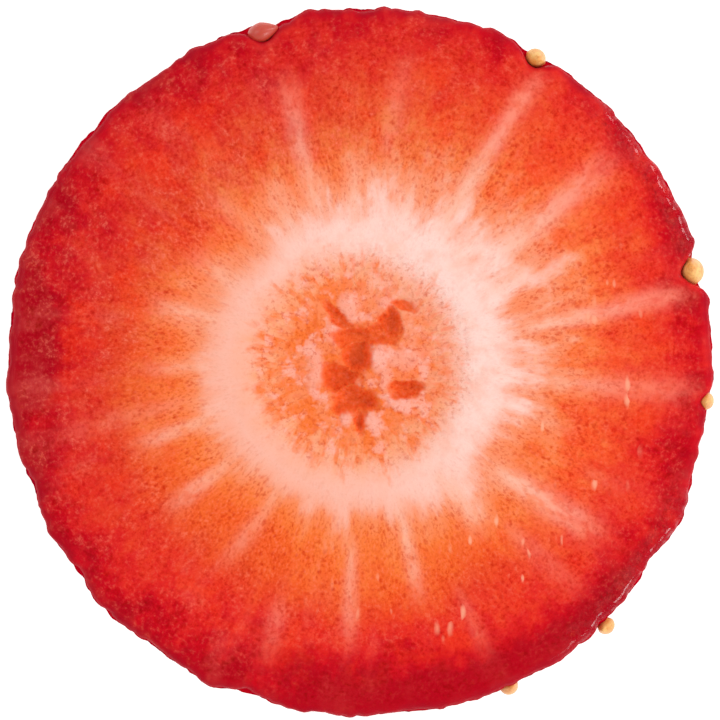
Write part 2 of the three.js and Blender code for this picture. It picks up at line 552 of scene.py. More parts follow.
@dataclass(frozen=True)
class Hollow:
    """The torn hollow of the pith, and the pale lobes that stand beside it."""

    upper: tuple[Blot, ...] = (
        Blot(-0.2, 1.3, 1.35, 0.65, 0.75),
        Blot(-0.15, 0.3, 0.8, 1.2, 0.95),
        Blot(-0.95, -0.85, 1.15, 0.85, 0.95),
        Blot(-0.25, -1.95, 1.2, 0.8, 0.9),
        Blot(0.0, -2.95, 0.36, 0.8, 0.45),
        Blot(-1.2, 2.3, 1.2, 0.42, 0.35, -46),
        Blot(1.5, 1.9, 0.62, 0.95, 0.7),
        Blot(0.85, 1.4, 0.8, 0.5, 0.55, 10),
        Blot(2.25, 2.8, 0.8, 0.28, 0.25, -10),
        Blot(2.4, -1.4, 1.0, 0.5, 0.55, 10),
    )
    lower: tuple[Blot, ...] = (
        Blot(-0.4, 0.7, 0.8, 1.3, 1.8),
        Blot(-0.1, -1.0, 0.7, 1.0, 1.5),
        Blot(1.3, 0.9, 0.7, 0.5, 1.1),
    )
    pale: tuple[Blot, ...] = (
        Blot(0.97, 0.13, 0.62, 0.8, 0.95),
        Blot(2.1, -2.16, 0.9, 0.38, 0.9, -20),
        Blot(-0.46, 2.67, 0.5, 0.95, 0.7, 20),
        Blot(-0.66, -2.87, 0.42, 0.42, 0.8),
        Blot(0.8, -3.2, 0.5, 0.4, 0.7),
        Blot(-2.25, -0.45, 0.55, 1.1, 0.65),
        Blot(-1.4, 1.45, 0.35, 0.65, 0.6),
        Blot(2.3, 0.15, 1.0, 0.6, 0.55),
        Blot(1.35, -0.9, 0.4, 0.8, 0.6),
        Blot(1.35, 2.9, 0.5, 0.35, 0.6),
    )
    raggedness: float = 0.26
    ragged_size: float = 0.75
    upper_seed: int = 3
    lower_seed: int = 7
    pale_seed: int = 11
    depth_edge: Band = (0.3, 1.15)
    stain_edge: Band = (0.45, 1.3)
    pale_edge: Band = (0.5, 1.25)
    least_stain: float = 0.35
    stain_rise: float = 1.1

    def warp(self, x: np.ndarray, y: np.ndarray, seed: int) -> tuple[np.ndarray, np.ndarray]:
        """Moves places about a little, so that ovals drawn with them look torn.

        Args:
            x: Places along X.
            y: Places along Y.
            seed: Which of many like fields moves them.

        Returns:
            The moved places along X and Y.
        """
        points = np.column_stack([x, y, np.zeros_like(x)])
        moved_x = x + self.raggedness * rough_field(points, self.ragged_size, seed)
        moved_y = y + self.raggedness * rough_field(points, self.ragged_size, seed + 1)
        return moved_x, moved_y

    def cover(
        self, blots: Sequence[Blot], amounts: Sequence[float], x: np.ndarray, y: np.ndarray, seed: int,
        edge: Band,
    ) -> np.ndarray:
        """How much of several torn blots lies at each place, where the strongest one counts.

        Args:
            blots: The blots.
            amounts: What each of them amounts to at its middle.
            x: Places along X.
            y: Places along Y.
            seed: Which of many like fields tears their edges.
            edge: Where a blot begins to fade and where it ends, as shares of its half widths.

        Returns:
            Amounts from 0.
        """
        moved_x, moved_y = self.warp(x, y, seed)
        covered = np.zeros_like(x)
        for blot, amount in zip(blots, amounts):
            covered = np.maximum(covered, amount * (1 - smoothstep(blot.reach(moved_x, moved_y), *edge)))
        return covered

    def opening(self, face: Cut) -> tuple[tuple[Blot, ...], int]:
        """The blots that open in a face, and the seed that tears their edges."""
        return (self.upper, self.upper_seed) if face is Cut.UPPER else (self.lower, self.lower_seed)

    def depth(self, x: np.ndarray, y: np.ndarray, face: Cut) -> np.ndarray:
        """How deep the hollow is below a face at each place, in mm."""
        blots, seed = self.opening(face)
        return self.cover(blots, [blot.amount for blot in blots], x, y, seed, self.depth_edge)

    def stain(self, x: np.ndarray, y: np.ndarray, face: Cut) -> np.ndarray:
        """How far each place lies inside the hollow's torn edge, from 0 to 1.

        Args:
            x: Places along X.
            y: Places along Y.
            face: The face that it opens in.

        Returns:
            Shares that are weaker where the hollow is shallow.
        """
        blots, seed = self.opening(face)
        strengths = [min(1.0, self.least_stain + self.stain_rise * blot.amount) for blot in blots]
        return self.cover(blots, strengths, x, y, seed, self.stain_edge)

    def paleness(self, x: np.ndarray, y: np.ndarray) -> np.ndarray:
        """How pale the pith is beside the hollow, from 0 to 1."""
        amounts = [blot.amount for blot in self.pale]
        return self.cover(self.pale, amounts, x, y, self.pale_seed, self.pale_edge)


RAYS = (
    Ray(11.2, 1.0, 8.9, 17.6, 0.95, 0.46),
    Ray(28.0, 2.0, 7.8, 11.0, 0.55, 0.5),
    Ray(37.6, 1.4, 9.6, 17.0, 1.0, 0.62),
    Ray(46.0, 0.0, 7.4, 9.4, 0.5, 0.5),
    Ray(58.6, -0.4, 8.4, 17.8, 1.0, 0.42),
    Ray(73.5, 0.0, 7.6, 10.4, 0.45, 0.45),
    Ray(82.5, -1.0, 10.8, 16.0, 0.38, 0.45),
    Ray(92.0, 0.0, 7.6, 11.0, 0.55, 0.5),
    Ray(106.0, -1.5, 8.4, 15.6, 0.62, 0.5),
    Ray(117.0, 0.0, 7.6, 10.8, 0.6, 0.6),
    Ray(130.5, 1.0, 7.6, 12.4, 0.25, 0.5),
    Ray(148.0, 0.0, 7.6, 10.4, 0.55, 0.6),
    Ray(164.0, 1.0, 7.6, 11.4, 0.7, 0.5),
    Ray(182.0, 0.0, 8.2, 11.4, 0.5, 0.35),
    Ray(193.0, 1.0, 9.0, 16.5, 0.22, 0.5),
    Ray(201.0, -0.5, 8.2, 12.8, 0.62, 0.42),
    Ray(217.6, 0.2, 8.8, 12.8, 0.65, 0.45),
    Ray(226.0, 0.0, 7.4, 9.4, 0.35, 0.5),
    Ray(238.0, -2.0, 7.6, 13.0, 0.36, 0.42),
    Ray(252.0, 0.0, 13.4, 16.6, 0.35, 0.6),
    Ray(267.6, 0.0, 9.8, 15.0, 0.62, 0.38),
    Ray(285.0, -1.0, 7.8, 12.8, 0.7, 0.36),
    Ray(293.5, 0.0, 13.0, 16.8, 0.25, 0.4),
    Ray(305.5, 1.0, 7.4, 11.0, 0.8, 0.6),
    Ray(312.0, 2.0, 11.5, 16.8, 0.3, 0.5),
    Ray(322.0, 2.5, 9.2, 15.6, 1.0, 0.62),
    Ray(334.0, 0.0, 13.2, 15.2, 0.3, 0.4),
    Ray(342.0, 0.0, 9.6, 12.0, 0.3, 0.4),
    Ray(354.0, 0.8, 10.6, 17.8, 0.58, 0.6),
)

PATCHES = (
    Patch(136.0, 8.8, 2.0, 2.8, 1.2),
    Patch(238.0, 11.0, 4.0, 2.6, 1.9),
    Patch(300.0, 11.6, 2.0, 1.8, 1.3),
    Patch(331.0, 9.8, 1.5, 1.3, 1.2),
    Patch(288.0, 13.0, 2.5, 1.6, 0.7),
    Patch(217.0, 15.1, 5.5, 1.9, -1.6),
    Patch(196.0, 8.6, 1.2, 1.3, -0.8),
    Patch(30.0, 9.2, 1.8, 2.2, -0.8),
    Patch(60.0, 12.0, 1.6, 3.4, -1.1),
    Patch(36.0, 15.6, 2.0, 1.0, -0.9),
    Patch(15.0, 15.8, 1.6, 1.2, 2.0),
    Patch(345.0, 15.4, 1.8, 2.2, 1.5),
    Patch(296.0, 17.2, 9.0, 1.0, 2.8),
    Patch(180.0, 12.2, 1.4, 1.0, 1.0),
    Patch(177.0, 16.5, 3.0, 1.2, 2.3),
    Patch(135.0, 16.2, 1.6, 1.0, -1.1),
    Patch(2.0, 13.4, 1.2, 1.6, 0.7),
    Patch(23.0, 17.0, 4.5, 0.9, 1.5),
    Patch(-5.0, 17.0, 3.6, 0.9, 1.5),
    Patch(104.0, 13.0, 1.5, 2.2, 2.2),
    Patch(120.0, 10.4, 1.2, 1.6, -0.8),
    Patch(306.0, 8.8, 2.0, 1.2, -0.8),
    Patch(33.0, 14.4, 3.2, 3.0, -0.9),
    Patch(15.0, 9.2, 1.2, 1.6, 1.0),
    Patch(264.0, 15.4, 3.0, 1.6, 0.9),
    Patch(208.0, 16.4, 1.6, 1.1, -1.2),
    Patch(240.0, 15.6, 1.4, 1.2, -0.8),
    Patch(45.0, 9.0, 1.4, 0.9, -0.7),
    Patch(29.0, 10.9, 1.3, 1.0, -0.9),
    Patch(135.0, 11.0, 1.2, 1.2, 1.0),
)


class WetGrain:
    """The juicy grain of fruit, as a node group that each finish places with its own values."""

    NAME = "wet_grain"

    @classmethod
    def group(cls) -> bpy.types.NodeTree:
        """The group, built once.

        Its input Place is where a grain stands, Size how many there are in a unit of Place, and Sparse
        the share of pores that is left out. Its outputs are Pores, dark dots, Flecks, light ragged
        patches, Smudges, dark ones, and Cloud, a slow change of tone, all from 0 to 1.
        """
        made = bpy.data.node_groups.get(cls.NAME)
        if made:
            return made
        tree = bpy.data.node_groups.new(cls.NAME, "ShaderNodeTree")
        face = tree.interface
        face.new_socket("Place", in_out="INPUT", socket_type="NodeSocketVector")
        for name, value in (("Size", 1.0), ("Sparse", 0.3)):
            face.new_socket(name, in_out="INPUT", socket_type="NodeSocketFloat").default_value = value
        for name in ("Pores", "Flecks", "Smudges", "Cloud"):
            face.new_socket(name, in_out="OUTPUT", socket_type="NodeSocketFloat")
        wire = Wiring(tree)
        given = wire.add("NodeGroupInput")
        place, size, sparse = (given.outputs[n] for n in ("Place", "Size", "Sparse"))
        wobble = wire.add("ShaderNodeTexNoise", {"Vector": place, "Scale": size, "Detail": 1.0}).outputs[1]
        warped = wire.vector("ADD", place, wire.vector("MULTIPLY", wobble, (0.5, 0.5, 0.5)))
        cells = wire.cells(warped, size)
        chance = wire.add("ShaderNodeSeparateColor", {0: cells.outputs[1]})
        pore = wire.span(cells.outputs[0], wire.math("MULTIPLY_ADD", chance.outputs[1], 0.3, 0.34), 0.12)
        pores = wire.math("MULTIPLY", pore, wire.math("GREATER_THAN", chance.outputs[0], sparse))
        fine = wire.noise(place, wire.math("MULTIPLY", size, 1.8), detail=2.0, roughness=0.7)
        cloud = wire.noise(place, wire.math("MULTIPLY", size, 0.28), detail=3.0, roughness=0.6)
        outputs = {
            "Pores": pores,
            "Flecks": wire.span(fine, 0.47, 0.75),
            "Smudges": wire.span(fine, 0.53, 0.27),
            "Cloud": cloud,
        }
        wire.add("NodeGroupOutput", outputs)
        return tree

    @classmethod
    def place(cls, wire: Wiring, where: Any, size: float, sparse: float) -> bpy.types.Node:
        """The group as a node of a material.

        Args:
            wire: The material's wiring.
            where: The place that the grain is drawn at.
            size: Grains in a unit of place.
            sparse: The share of pores that is left out.

        Returns:
            The group's node.
        """
        node = wire.tree.nodes.new("ShaderNodeGroup")
        node.node_tree = cls.group()
        for name, value in {"Place": where, "Size": size, "Sparse": sparse}.items():
            wire.feed(node.inputs[name], value)
        return node


def new_material(name: str) -> tuple[bpy.types.Material, Wiring, bpy.types.Node]:
    """A material with its shader in place.

    Args:
        name: The material's name.

    Returns:
        The material, the wiring of its nodes, and its Principled shader.
    """
    material = bpy.data.materials.new(name)
    material.use_nodes = True
    wire = Wiring(material.node_tree)
    return material, wire, material.node_tree.nodes["Principled BSDF"]


@dataclass(frozen=True)
class CutFinish:
    """The wet cut face: an orange pith, a white ring with tufts, and flesh that reddens to the rim.

    tissues holds the distance from the axis in mm and the colour of each kind of tissue, from the
    middle out. Directions are in degrees, shifts and reaches in mm, and shares from 0 to 1.
    """

    tissues: tuple[tuple[float, Paint], ...] = (
        (0.0, paint(246, 128, 80)),
        (3.7, paint(250, 140, 88)),
        (4.6, paint(251, 166, 122)),
        (5.6, paint(252, 176, 147)),
        (6.8, paint(252, 182, 160)),
        (7.6, paint(252, 170, 142)),
        (8.6, paint(251, 150, 108)),
        (10.0, paint(250, 122, 64)),
        (11.7, paint(245, 92, 46)),
        (13.6, paint(236, 62, 36)),
        (15.4, paint(228, 38, 33)),
        (16.8, paint(208, 5, 26)),
        (18.4, paint(184, 0, 24)),
    )
    ramp_end: float = 20.0
    rim: Paint = paint(170, 0, 28)
    ring_white: Paint = paint(255, 216, 205)
    ray_inner: Paint = paint(253, 190, 165)
    ray_outer: Paint = paint(252, 140, 116)
    wash: Paint = paint(238, 92, 82)
    veil: Paint = paint(250, 112, 88)
    shade: Paint = paint(243, 249, 255)
    warm: Paint = paint(246, 58, 16)
    orange: Paint = paint(250, 122, 36)
    pith_orange: Paint = paint(249, 117, 42)
    pith_pale: Paint = paint(254, 180, 162)
    hollow_edge: Paint = paint(248, 108, 46)
    hollow_floor: Paint = paint(240, 104, 46)
    pore: Paint = paint(228, 158, 134)
    fleck: Paint = paint(254, 132, 105)
    # Painted highlight: the pale colour of the few small glints painted on the wet face.
    painted_glint_tone: Paint = paint(255, 176, 142)

    light_side_deg: float = 30.0
    shaded_side_deg: float = 140.0
    orange_side_deg: float = 250.0
    dark_edge_deg: float = 280.0
    # The painted glints lie on the side towards the lower right light.
    painted_glint_side_deg: float = -38.0
    wet_degs: tuple[float, ...] = (31.0, -37.0)

    core_pull: float = 0.6
    side_shift: float = -1.3
    flesh_shift: float = -0.2
    dark_edge_shift: float = 0.8
    tuft_reach: float = -4.8
    fray_reach: float = 3.4
    blotch_reach: float = 3.6
    mottle_reach: float = 5.2
    cluster_reach: float = 3.6

    core_start: Band = (1.4, 3.6)
    core_end: Band = (6.6, 4.8)
    fray_start: Band = (2.6, 4.4)
    fray_end: Band = (7.0, 6.0)
    tuft_start: Band = (6.4, 8.6)
    blotch_start: Band = (6.6, 9.6)
    side_start: Band = (7.2, 10.8)
    mottle_start: Band = (8.2, 11.0)
    grain_change: Band = (7.5, 5.5)
    pith_end: Band = (6.0, 4.5)
    dash_start: Band = (2.6, 3.6)
    pith_light_start: Band = (1.2, 3.4)
    ring_start: Band = (4.9, 6.4)
    ring_end: Band = (8.7, 6.8)
    ring_reach: Band = (10.6, 8.4)
    quiet_start: Band = (4.8, 6.2)
    quiet_end: Band = (9.4, 7.2)
    flesh_start: Band = (9.0, 12.0)
    orange_start: Band = (7.4, 9.2)
    orange_end: Band = (14.0, 11.0)
    warm_end: Band = (17.0, 14.5)
    # Where the painted glints begin and end, out from the axis.
    painted_glint_start: Band = (7.5, 9.0)
    painted_glint_end: Band = (15.5, 13.5)
    dark_edge: Band = (13.6, 16.2)
    wet_edge: Band = (16.8, 17.4)

    far_grain: Weave = (40.0, 2.8)
    tufts: Weave = (8.5, 0.3)
    frays: Weave = (7.0, 0.5)
    mottle: Weave = (15.0, 0.8)
    ring_clouds: Weave = (7.0, 0.9)
    pink_bands: Weave = (9.0, 0.22)
    veil_flakes: Weave = (15.0, 1.1)
    warm_bands: Weave = (6.0, 0.45)
    ray_breaks: Weave = (26.0, 1.1)
    pith_edge: Weave = (10.0, 0.8)
    pith_turn: Weave = (2.0, 0.0)
    dashes: Weave = (13.0, 0.9)
    glints: Weave = (44.0, 2.4)
    rim_waves: Weave = (9.0, 0.0)

    wash_share: float = 0.34
    warm_share: float = 0.4
    orange_share: float = 0.4
    ray_share: float = 0.95
    pith_orange_share: float = 0.85
    pith_pale_share: float = 0.75
    dash_share: float = 0.7
    pith_light_share: float = 0.34
    hollow_share: float = 0.9
    ring_quiet: float = 0.72
    ray_quiet: float = 0.6
    # How strongly the painted glints show.
    painted_glint_share: float = 0.75

    roughness: float = 0.36
    glint_coat: float = 0.7
    least_coat: float = 0.03
    grain_depth: float = 0.03
    juice_depth: float = 0.22

    def build(self) -> bpy.types.Material:
        """The material."""
        material, wire, shader = new_material("cut_flesh")
        face = CutPainter(wire, self)
        colour = face.washes(face.ring(face.tissue()))
        colour = face.hollow(face.pith(face.rays(colour)))
        wire.feed(shader.inputs["Base Color"], face.edged(face.grained(colour)))
        wire.feed(shader.inputs["Normal"], face.relief())
        low, high = self.roughness - 0.06, self.roughness + 0.14
        wire.feed(shader.inputs["Roughness"], wire.span(face.cloudy, 0.35, 0.65, low, high))
        glints = wire.product(face.wet, face.cloud(face.polar(self.glints), 1.0, 0.46, 0.58))
        coat = wire.math("MULTIPLY_ADD", glints, self.glint_coat, self.least_coat)
        wire.feed(shader.inputs["Coat Weight"], coat)
        shader.inputs["IOR"].default_value = FRUIT_IOR
        shader.inputs["Specular IOR Level"].default_value = 0.12
        shader.inputs["Subsurface Weight"].default_value = 0.1
        shader.inputs["Subsurface Radius"].default_value = (1.0, 0.25, 0.15)
        shader.inputs["Subsurface Scale"].default_value = 0.3 * MM
        shader.inputs["Coat Roughness"].default_value = 0.06
        return material


class CutPainter:
    """Paints the cut face layer by layer, in directions and distances from the berry's axis."""

    def __init__(self, wire: Wiring, finish: CutFinish) -> None:
        """Finds each place's distance, heading and grain, and what makes one side lighter.

        Args:
            wire: The wiring of the material's nodes.
            finish: The colours and measures to paint with.
        """
        self.wire = wire
        self.finish = finish
        self.flat = wire.vector("MULTIPLY", wire.place_in_mm(), (1.0, 1.0, 0.0))
        self.radius = wire.add("ShaderNodeVectorMath", {0: self.flat}, operation="LENGTH").outputs["Value"]
        self.heading = wire.vector("NORMALIZE", self.flat)
        self.light_side = self.toward(finish.light_side_deg)
        near_light = wire.product(wire.math("MAXIMUM", self.light_side, 0.0), finish.core_pull)
        self.core_radius = wire.math("ADD", near_light, self.radius)
        self.shifted = self.shift(near_light)
        self.ray = wire.stored("ray")
        self.rim = wire.stored("rim")
        self.far = WetGrain.place(wire, self.polar(finish.far_grain), 1.0, 0.45)
        self.near = WetGrain.place(wire, self.flat, 2.2, 0.4)
        self.inner = wire.span(self.radius, *finish.grain_change)
        self.pores, self.flecks, self.smudges, self.cloudy = (
            self.blend(self.inner, self.far.outputs[name], self.near.outputs[name])
            for name in ("Pores", "Flecks", "Smudges", "Cloud")
        )
        wet_sides = (wire.span(self.toward(angle), 0.93, 0.99) for angle in finish.wet_degs)
        self.wet = wire.product(wire.total(wet_sides), wire.span(self.radius, *finish.wet_edge))
        self.calm = wire.span(self.edge_shift(), 0.0, 0.6, 1.0, 0.25)

    def blend(self, share: Any, first: Any, second: Any) -> Socket:
        """Two numbers mixed by a share."""
        return self.wire.add("ShaderNodeMix", {0: share, 2: first, 3: second}, data_type="FLOAT").outputs[0]

    def toward(self, angle_deg: float) -> Socket:
        """How far each place lies towards an angle.

        Args:
            angle_deg: The angle, in degrees from +X.

        Returns:
            A number from -1, away from it, to 1.
        """
        aim = (math.cos(math.radians(angle_deg)), math.sin(math.radians(angle_deg)), 0.0)
        inputs = {0: self.heading, 1: aim}
        return self.wire.add("ShaderNodeVectorMath", inputs, operation="DOT_PRODUCT").outputs["Value"]

    def polar(self, weave: Weave, offset: tuple[float, float, float] | None = None) -> Socket:
        """A place for patterns that run round the axis in X and Y and out from it in Z.

        Args:
            weave: How closely the pattern repeats round the axis, and outwards.
            offset: A step to another part of the same noise, or None.

        Returns:
            The place, as a vector.
        """
        around, outward = weave
        turned = self.wire.vector("MULTIPLY", self.heading, (around, around, around))
        out = self.wire.join(0.0, 0.0, self.wire.math("MULTIPLY", self.radius, outward))
        place = self.wire.vector("ADD", turned, out)
        return self.wire.vector("ADD", place, offset) if offset else place

    def cloud(self, place: Any, scale: float, low: float, high: float, least: float = 0.0) -> Socket:
        """Clouds that run from least to 1 as their noise goes from low to high."""
        return self.wire.span(self.wire.noise(place, scale, 3.0, 0.6), low, high, least, 1.0)

    def swing(self, place: Any, scale: float, reach: float, detail: float = 3.0) -> Socket:
        """Noise to both sides of 0, where reach is the whole of its range."""
        tone = self.wire.noise(place, scale, detail, 0.6)
        return self.wire.math("MULTIPLY", self.wire.math("SUBTRACT", tone, 0.5), reach)

    def edge_shift(self) -> Socket:
        """How much further out the flesh seems to lie near the rim of its darker side."""
        wire = self.wire
        band = wire.math("POWER", wire.math("MAXIMUM", self.toward(self.finish.dark_edge_deg), 0.0), 6.0)
        near_rim = wire.span(self.radius, *self.finish.dark_edge)
        return wire.product(band, near_rim, self.finish.dark_edge_shift)

    def shift(self, near_light: Socket) -> Socket:
        """The distance from the axis as the tissues see it.

        It is drawn in on the light side and at the tufts of the ring, frayed inside the ring, and moved
        to and fro in blotches, in patches and in a mottle that runs outwards.

        Args:
            near_light: How far the core is drawn in on the light side, in mm.

        Returns:
            The distance in mm.
        """
        wire, finish, radius = self.wire, self.finish, self.radius
        side = wire.math("MULTIPLY_ADD", self.light_side, finish.side_shift, finish.flesh_shift)
        tufts = self.swing(self.polar(finish.tufts), 1.0, finish.tuft_reach)
        frays = self.swing(self.polar(finish.frays), 1.0, finish.fray_reach)
        blotches = self.swing(self.flat, 0.26, finish.blotch_reach)
        mottle = self.swing(self.polar(finish.mottle), 1.0, finish.mottle_reach, 5.0)
        clusters = self.swing(self.flat, 1.1, finish.cluster_reach, 4.0)
        core = wire.product(wire.span(radius, *finish.core_start), wire.span(radius, *finish.core_end))
        moves = (
            self.edge_shift(),
            wire.stored("shade"),
            wire.product(near_light, core),
            wire.product(tufts, wire.span(radius, *finish.tuft_start)),
            wire.product(frays, wire.span(radius, *finish.fray_start), wire.span(radius, *finish.fray_end)),
            wire.product(side, wire.span(radius, *finish.side_start)),
            wire.product(blotches, wire.span(radius, *finish.blotch_start)),
            wire.product(mottle, wire.span(radius, *finish.mottle_start)),
            wire.product(clusters, wire.span(radius, *finish.mottle_start)),
        )
        return wire.math("ADD", radius, wire.total(moves))

    def tissue(self) -> Socket:
        """The colour of each tissue, from the middle out."""
        end = self.finish.ramp_end
        stops = [(place / end, tone) for place, tone in self.finish.tissues]
        return self.wire.ramp(self.wire.math("DIVIDE", self.shifted, end), stops)

    def ring(self, colour: Socket) -> Socket:
        """Lays on the white ring, brightest on the light side.

        Args:
            colour: The colour so far.

        Returns:
            The colour with the ring.
        """
        wire, finish = self.wire, self.finish
        inside = wire.span(self.core_radius, *finish.ring_start)
        outside = wire.span(self.shifted, *finish.ring_end)
        side = wire.span(self.light_side, -1.0, 0.9, 0.05, 1.0)
        reach = wire.span(self.radius, *finish.ring_reach)
        clouds = self.cloud(self.polar(finish.ring_clouds), 1.0, 0.3, 0.6, 0.5)
        return wire.mix(wire.product(inside, outside, side, reach, clouds), colour, finish.ring_white)

    def washes(self, colour: Socket) -> Socket:
        """Lays on bands that run outwards in the flesh, pinkish, veiled, warm and orange.

        Args:
            colour: The colour so far.

        Returns:
            The colour with the bands.
        """
        wire, finish = self.wire, self.finish
        flesh = wire.span(self.radius, *finish.flesh_start)
        pink = self.cloud(self.polar(finish.pink_bands), 1.0, 0.48, 0.7)
        away = wire.span(self.light_side, 0.5, -0.5, 0.35, 1.0)
        colour = wire.mix(wire.product(pink, away, flesh, self.calm, finish.wash_share), colour, finish.wash)
        shaded = self.toward(finish.shaded_side_deg)
        veil = self.cloud(self.polar(finish.veil_flakes, (5.0, 9.0, 0.0)), 1.0, 0.5, 0.66)
        veil = wire.product(veil, self.calm, wire.span(self.flecks, 0.0, 0.5, 0.5, 1.5))
        thin = wire.span(self.radius, 11.0, 16.5, 0.42, 0.2)
        thin = wire.product(thin, wire.span(shaded, -0.7, 0.6, 0.4, 1.0))
        colour = wire.mix(wire.product(veil, flesh, thin), colour, finish.veil)
        dim = wire.product(wire.span(shaded, -0.3, 0.9), flesh)
        colour = wire.mix(dim, colour, finish.shade, "MULTIPLY")
        warm = self.cloud(self.polar(finish.warm_bands, (11.0, 3.0, 0.0)), 1.0, 0.48, 0.66)
        warm = wire.product(warm, flesh, wire.span(self.radius, *finish.warm_end), finish.warm_share)
        colour = wire.mix(warm, colour, finish.warm)
        low = wire.product(wire.span(self.toward(finish.orange_side_deg), -0.2, 0.9), finish.orange_share)
        start, end = wire.span(self.shifted, *finish.orange_start), wire.span(self.radius, *finish.orange_end)
        return wire.mix(wire.product(low, start, end), colour, finish.orange)

    def rays(self, colour: Socket) -> Socket:
        """Lays on the pale strands of vessels.

        Args:
            colour: The colour so far.

        Returns:
            The colour with the strands.
        """
        wire, finish = self.wire, self.finish
        tone = wire.mix(wire.span(self.radius, 9.0, 15.5), finish.ray_inner, finish.ray_outer)
        breaks = self.cloud(self.polar(finish.ray_breaks), 1.0, 0.3, 0.6, 0.45)
        return wire.mix(wire.product(self.ray, breaks, finish.ray_share), colour, tone)

    def pith(self, colour: Socket) -> Socket:
        """Lays on the mottled pith inside the ring.

        Args:
            colour: The colour so far.

        Returns:
            The colour with the pith.
        """
        wire, finish = self.wire, self.finish
        ragged = (self.swing(self.polar(finish.pith_edge), 1.0, 4.4), self.swing(self.flat, 0.6, 2.4))
        inside = wire.span(wire.math("ADD", self.core_radius, wire.total(ragged)), *finish.pith_end)
        place = wire.vector("ADD", self.flat, self.polar(finish.pith_turn))
        orange = wire.product(self.cloud(place, 0.66, 0.43, 0.6), inside, finish.pith_orange_share)
        colour = wire.mix(orange, colour, finish.pith_orange)
        place = wire.vector("ADD", self.flat, (3.0, 8.0, 0.0))
        pink = wire.product(self.cloud(place, 0.9, 0.5, 0.64), inside, finish.pith_pale_share)
        colour = wire.mix(pink, colour, finish.pith_pale)
        dashes = wire.product(self.cloud(self.polar(finish.dashes), 1.0, 0.5, 0.66), inside)
        dashes = wire.product(dashes, wire.span(self.radius, *finish.dash_start), finish.dash_share)
        colour = wire.mix(dashes, colour, finish.pith_orange)
        light = wire.product(wire.span(self.light_side, -0.1, 1.0), inside, finish.pith_light_share)
        light = wire.product(light, wire.span(self.radius, *finish.pith_light_start))
        light = wire.product(light, self.cloud(self.flat, 1.3, 0.36, 0.62, 0.2))
        colour = wire.mix(light, colour, finish.pith_pale)
        pale = wire.product(wire.stored("pale"), self.cloud(self.flat, 2.2, 0.3, 0.55, 0.65))
        return wire.mix(pale, colour, finish.pith_pale)

    def hollow(self, colour: Socket) -> Socket:
        """Lays on the torn walls and floor of the hollow.

        Args:
            colour: The colour so far.

        Returns:
            The colour with the hollow.
        """
        wire, finish = self.wire, self.finish
        fray = wire.math("SUBTRACT", wire.noise(self.flat, 2.0, 4.0, 0.65), 0.5)
        torn = wire.math("MULTIPLY_ADD", fray, 0.8, wire.stored("hollow"))
        colour = wire.mix(wire.span(torn, 0.05, 0.65, 0.0, finish.hollow_share), colour, finish.hollow_edge)
        return wire.mix(wire.span(torn, 0.5, 0.9), colour, finish.hollow_floor)

    def grained(self, colour: Socket) -> Socket:
        """Lays on the juicy grain, weak in the ring, in the strands and where the skin begins, and then a few
        painted glints.

        Args:
            colour: The colour so far.

        Returns:
            The colour with the grain.
        """
        wire, finish, radius = self.wire, self.finish, self.radius
        ring = wire.product(wire.span(radius, *finish.quiet_start), finish.ring_quiet)
        ring = wire.product(ring, wire.span(self.shifted, *finish.quiet_end))
        quiet = wire.math("MAXIMUM", ring, wire.product(self.ray, finish.ray_quiet))
        quiet = wire.math("MAXIMUM", quiet, wire.span(self.rim, 0.0, 0.8))
        strength = wire.math("SUBTRACT", 1.0, quiet)
        patchy = wire.product(strength, self.cloud(self.flat, 0.5, 0.3, 0.65, 0.5))
        dark = wire.product(self.smudges, patchy, wire.span(radius, 13.0, 16.0, 0.88, 1.0))
        colour = wire.mix(dark, colour, finish.pore, "MULTIPLY")
        flecks = wire.math("POWER", self.flecks, wire.span(radius, 9.0, 14.0, 1.2, 1.4))
        light = wire.product(flecks, strength, wire.span(radius, 9.0, 15.0, 0.5, 0.18), self.calm)
        colour = wire.mix(light, colour, finish.fleck)
        deep = wire.product(self.pores, patchy, wire.span(self.inner, 0.0, 1.0, 0.72, 0.35))
        colour = wire.mix(deep, colour, finish.pore, "MULTIPLY")
        # Painted highlight: a few small pale glints mixed into the colour of the wet face.
        return wire.mix(self.painted_glints(), colour, finish.painted_glint_tone)

    def painted_glints(self) -> Socket:
        """Where the painted glints lie: a few small pale streaks of painted highlight on the wet face, on its
        side towards the lower right light.
        """
        wire, finish = self.wire, self.finish
        painted_glints = WetGrain.place(wire, wire.vector("MULTIPLY", self.flat, (3.0, 1.2, 1.0)), 1.0, 0.9)
        side = wire.span(self.toward(finish.painted_glint_side_deg), 0.3, 0.8)
        start, end = wire.span(self.radius, *finish.painted_glint_start), wire.span(self.radius, *finish.painted_glint_end)
        return wire.product(painted_glints.outputs["Pores"], side, start, end, finish.painted_glint_share)

    def edged(self, colour: Socket) -> Socket:
        """Lays on the dark rim where the skin was cut, of uneven width."""
        uneven = self.wire.math("ADD", self.rim, self.swing(self.polar(self.finish.rim_waves), 1.0, 1.4))
        return self.wire.mix(self.wire.span(uneven, 0.5, 1.3), colour, self.finish.rim)

    def relief(self) -> Socket:
        """The normal of the wet grain, with lumps of juice on the wet sides of the rim."""
        wire, finish = self.wire, self.finish
        height = wire.math("SUBTRACT", self.flecks, self.pores)
        grain = {"Strength": 0.22, "Distance": finish.grain_depth * MM, "Height": height}
        bump = wire.add("ShaderNodeBump", grain).outputs[0]
        lumps = wire.product(wire.noise(self.flat, 4.2, 3.0, 0.6), self.wet)
        juice = {"Strength": 1.0, "Distance": finish.juice_depth * MM, "Height": lumps, "Normal": bump}
        return wire.add("ShaderNodeBump", juice).outputs[0]


